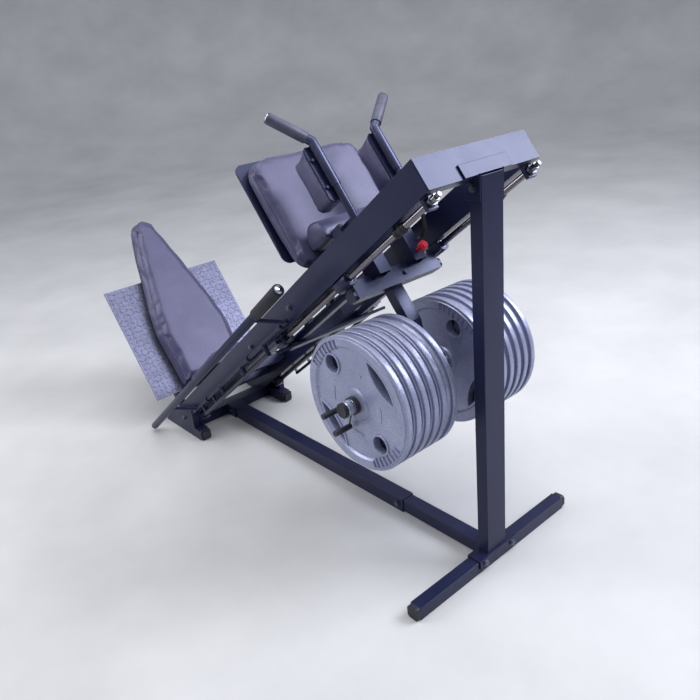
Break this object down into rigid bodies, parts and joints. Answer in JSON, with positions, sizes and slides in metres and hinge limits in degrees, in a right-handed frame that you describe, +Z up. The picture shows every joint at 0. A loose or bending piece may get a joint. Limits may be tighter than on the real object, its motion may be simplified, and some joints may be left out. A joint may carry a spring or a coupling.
{
  "type": "leg press and hack squat machine",
  "caption": "Plate-loaded sled machine with inclined rails, folding press plate, padded supports, tread platform and side lock levers.",
  "frame": {"origin": "centre of the footprint box on the floor", "axes": "+X across the machine, +Y towards the tall rear post, +Z up"},
  "size_m": [0.783, 2.303, 1.4722],
  "materials": {
    "frame_paint": "satin",
    "black_plastic": "matte",
    "polished_steel": "polished",
    "rod_steel": "ground",
    "zinc_steel": "satin",
    "rubber_black": "matte",
    "pad_vinyl": "satin",
    "tread_steel": "satin",
    "handle_steel": "satin",
    "handle_rubber": "matte",
    "knob_red": "gloss",
    "plate_iron": "hammertone",
    "spring_steel": "matte"
  },
  "bodies": {
    "frame": {"rear_foot_bar": "frame_paint", "rear_foot_caps": "black_plastic", "rear_saddle": "frame_paint", "upright_post": "frame_paint", "top_cap": "frame_paint", "post_bracket": "frame_paint", "side_beam_left": "frame_paint", "side_beam_right": "frame_paint", "guide_rod_left": "rod_steel", "guide_rod_right": "rod_steel", "rod_brackets": "frame_paint", "rod_nuts": "zinc_steel", "rod_bumpers": "rubber_black", "front_cross_tube": "frame_paint", "front_feet": "frame_paint", "front_foot_caps": "black_plastic", "front_gussets": "frame_paint", "base_sleeve": "frame_paint", "base_tube": "frame_paint", "junction_bracket": "frame_paint", "tread_plate": "tread_steel", "tread_supports": "frame_paint", "back_pad": "pad_vinyl", "back_board": "black_plastic", "seat_pad": "pad_vinyl", "seat_frame": "frame_paint", "lock_bearings": "frame_paint", "frame_bolts": "zinc_steel"},
    "carriage": {"carriage_front_beam": "frame_paint", "carriage_rear_beam": "frame_paint", "carriage_side_rails": "frame_paint", "carriage_uprights": "frame_paint", "shoulder_beam": "frame_paint", "bearing_housings": "frame_paint", "linear_bearings": "zinc_steel", "carriage_handle": "rubber_black", "handle_left": "handle_steel", "handle_right": "handle_steel", "handle_grips": "handle_rubber", "shoulder_plates": "frame_paint", "shoulder_pad_left": "pad_vinyl", "shoulder_pad_right": "pad_vinyl", "head_pad": "pad_vinyl", "hinge_brackets": "frame_paint", "hinge_pin": "polished_steel", "weight_stem": "frame_paint", "weight_horns": "polished_steel", "horn_caps": "black_plastic"},
    "flip_plate": {"press_plate": "frame_paint", "press_pad": "pad_vinyl"},
    "lever_left": {"lock_lever_left": "frame_paint", "lock_grip_left": "rubber_black"},
    "lever_right": {"lock_lever_right": "frame_paint", "lock_grip_right": "rubber_black"},
    "pull_pin": {"pop_pin": "knob_red"},
    "weights_left": {"plates_left": "plate_iron"},
    "weights_right": {"plates_right": "plate_iron"},
    "clip_left": {"collar_left": "spring_steel"},
    "clip_right": {"collar_right": "spring_steel"}
  },
  "joints": [
    {"name": "carriage_slide", "type": "slide", "parent": "frame", "child": "carriage", "axis": [0, 0.7912, 0.6115], "range_m": [0, 0.268]},
    {"name": "lever_left_turn", "type": "hinge", "parent": "frame", "child": "lever_left", "pos_m": [-0.257, 0.161, 0.5702], "axis": [0, 0.7912, 0.6115], "range_deg": [0, 45]},
    {"name": "lever_right_turn", "type": "hinge", "parent": "frame", "child": "lever_right", "pos_m": [0.257, 0.161, 0.5702], "axis": [0, -0.7912, -0.6115], "range_deg": [0, 45]},
    {"name": "flip_plate_fold", "type": "hinge", "parent": "carriage", "child": "flip_plate", "pos_m": [0, 0.47988, 0.96707], "axis": [1, 0, 0], "range_deg": [0, 90]},
    {"name": "pull_pin_slide", "type": "slide", "parent": "carriage", "child": "pull_pin", "axis": [0, 0.7912, 0.6115], "range_m": [0, 0.012], "stiffness_N_per_m": 600, "springref_m": -0.012},
    {"name": "weights_left_spin", "type": "hinge", "parent": "carriage", "child": "weights_left", "pos_m": [-0.2, 0.83229, 0.62394], "axis": [1, 0, 0], "continuous": true},
    {"name": "weights_right_spin", "type": "hinge", "parent": "carriage", "child": "weights_right", "pos_m": [0.2, 0.83229, 0.62394], "axis": [1, 0, 0], "continuous": true},
    {"name": "clip_left_slide", "type": "slide", "parent": "carriage", "child": "clip_left", "axis": [-1, 0, 0], "range_m": [0, 0.06]},
    {"name": "clip_right_slide", "type": "slide", "parent": "carriage", "child": "clip_right", "axis": [1, 0, 0], "range_m": [0, 0.06]}
  ]
}
